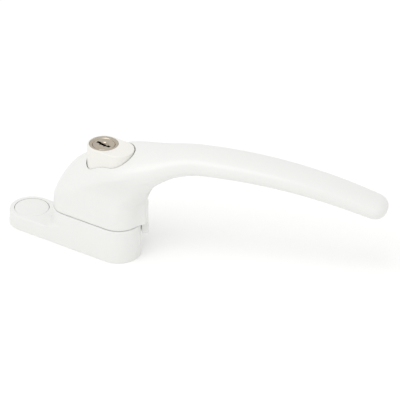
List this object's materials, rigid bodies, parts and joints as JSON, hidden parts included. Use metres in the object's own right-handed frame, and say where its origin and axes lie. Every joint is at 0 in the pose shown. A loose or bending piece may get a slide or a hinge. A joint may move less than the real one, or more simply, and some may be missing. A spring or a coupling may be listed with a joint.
{
  "type": "window handle",
  "caption": "Cranked key-locking window handle: obround base plate with screw cap, turning hub with arched lever, oblong push button with key barrel, square drive socket at the back.",
  "frame": {"origin": "spindle axis at the base's back face, midway between the two fixing holes", "axes": "+Z out of the sash into the room, +X along the base towards the lever end, +Y the side the lever cranks and opens to"},
  "size_m": [0.1523, 0.0598, 0.0505],
  "materials": {
    "powder_coat": "white powder coat, satin gloss",
    "cap_plastic": "white moulded plastic, satin",
    "button_plastic": "slightly warm white moulded plastic",
    "nickel": "nickel plate, warm",
    "steel": "zinc plated, bright",
    "acetal": "natural acetal",
    "brass": "stamped brass"
  },
  "bodies": {
    "base": {"base_plate": "powder_coat", "bearing_bush": "acetal", "thrust_washer": "acetal", "stop_pin": "steel", "wave_washer": "steel"},
    "cap": {"screw_cap": "cap_plastic"},
    "handle": {"lever": "powder_coat", "spindle_sleeve": "steel", "drive_dowels": "steel", "circlip": "steel", "cover_plate": "steel", "cover_screws": "steel", "button_spring": "steel"},
    "button": {"push_button": "button_plastic", "lock_housing": "nickel", "lock_clip": "steel", "locking_pin": "steel"},
    "barrel": {"lock_barrel": "nickel", "wafers": "brass", "wafer_springs": "steel", "lock_cam": "steel", "cam_screw": "steel"}
  },
  "joints": [
    {"name": "handle_turn", "type": "hinge", "parent": "base", "child": "handle", "pos_m": [0, 0, 0], "axis": [0, 0, 1], "range_deg": [0, 90]},
    {"name": "button_press", "type": "slide", "parent": "handle", "child": "button", "axis": [0, 0, -1], "range_m": [0, 0.0045], "stiffness_N_per_m": 1000, "springref_m": -0.002, "deforming": ["button_spring"]},
    {"name": "key_turn", "type": "hinge", "parent": "button", "child": "barrel", "pos_m": [0.0148, 0, 0], "axis": [0, 0, 1], "range_deg": [0, 90]},
    {"name": "cap_lift", "type": "slide", "parent": "base", "child": "cap", "axis": [0, 0, 1], "range_m": [0, 0.006]}
  ]
}
